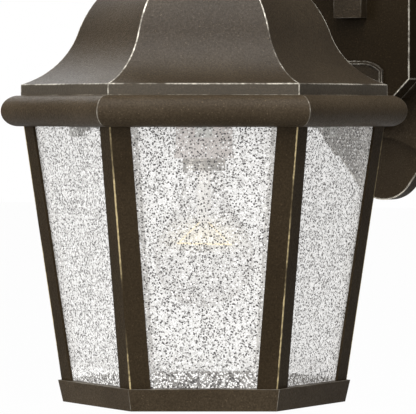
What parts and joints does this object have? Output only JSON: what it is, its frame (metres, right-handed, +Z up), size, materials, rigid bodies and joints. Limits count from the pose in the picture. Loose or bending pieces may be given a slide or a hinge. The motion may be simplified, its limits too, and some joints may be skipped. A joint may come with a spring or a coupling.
{
  "type": "outdoor wall lantern",
  "caption": "Hexagonal tapering wall lantern with ogee roof and seedy glass panes, hung from a gooseneck arm on a cast wall bracket with clipped corners; lamp base up, open below.",
  "frame": {"origin": "centre of the mounting strap's back face, in the plane of the wall, level with the middle of the wall plate", "axes": "+Z up, +Y into the wall, so the lantern stands out along -Y; +X to the right of someone facing the wall"},
  "size_m": [0.211, 0.3678, 0.4285],
  "materials": {
    "bronze_sheet": "oil-rubbed bronze lacquer, satin, edges rubbed to pale gold",
    "bronze_cast": "oil-rubbed bronze lacquer on a casting, satin, edges rubbed to pale gold",
    "bronze_inner": "dark bronze lacquer, dull",
    "seedy_glass": "clear glass full of small seed bubbles",
    "bulb_clear_glass": "clear blown glass",
    "filament": "glowing wire",
    "lamp_cap_metal": "bright pressed metal",
    "black_glass": "black glass insulator",
    "porcelain": "glazed porcelain",
    "contact_brass": "bright brass",
    "spring_steel": "plain spring steel",
    "zinc_steel": "zinc plated",
    "green_screw": "green marked screw",
    "foam": "closed-cell foam strip",
    "black_sleeve": "wire sleeve",
    "white_sleeve": "wire sleeve",
    "orange_plastic": "moulded plastic"
  },
  "bodies": {
    "fixture": {"bottom_ring": "bronze_sheet", "post_1": "bronze_sheet", "post_2": "bronze_sheet", "post_3": "bronze_sheet", "post_4": "bronze_sheet", "post_5": "bronze_sheet", "post_6": "bronze_sheet", "pane_1": "seedy_glass", "pane_2": "seedy_glass", "pane_3": "seedy_glass", "pane_4": "seedy_glass", "pane_5": "seedy_glass", "pane_6": "seedy_glass", "cage_head": "bronze_inner", "glass_clips": "spring_steel", "clip_screws": "zinc_steel", "eaves_moulding": "bronze_sheet", "roof_shell": "bronze_sheet", "roof_cap": "bronze_sheet", "neck_ball": "bronze_cast", "crossbar": "zinc_steel", "crossbar_screws": "zinc_steel", "nipple": "zinc_steel", "lock_nuts": "zinc_steel", "lampholder": "porcelain", "screw_shell": "contact_brass", "centre_contact": "contact_brass", "arm": "bronze_cast", "arm_screws": "zinc_steel", "front_panel": "bronze_cast", "emblem_plate": "bronze_cast", "bracket_housing": "bronze_cast", "bracket_bolts": "zinc_steel", "wall_plate": "bronze_cast", "wall_gasket": "foam", "mounting_strap": "zinc_steel", "mounting_studs": "zinc_steel", "stud_nuts": "zinc_steel", "ground_screw": "green_screw", "wire_live": "black_sleeve", "wire_neutral": "white_sleeve", "wire_nuts": "orange_plastic"},
    "bulb": {"bulb_glass": "bulb_clear_glass", "bulb_stem": "bulb_clear_glass", "bulb_filament": "filament", "bulb_cap": "lamp_cap_metal", "bulb_insulator": "black_glass", "bulb_contact": "lamp_cap_metal"},
    "upper_nut": {"cap_nut_upper": "bronze_sheet"},
    "lower_nut": {"cap_nut_lower": "bronze_sheet"}
  },
  "joints": [
    {"name": "bulb_out", "type": "slide", "parent": "fixture", "child": "bulb", "axis": [0, 0, -1], "range_m": [0, 0.18]},
    {"name": "upper_nut_turn", "type": "hinge", "parent": "fixture", "child": "upper_nut", "pos_m": [0, -0.0252, 0.0675], "axis": [0, -1, 0], "continuous": true},
    {"name": "lower_nut_turn", "type": "hinge", "parent": "fixture", "child": "lower_nut", "pos_m": [0, -0.0252, -0.0675], "axis": [0, -1, 0], "continuous": true}
  ]
}
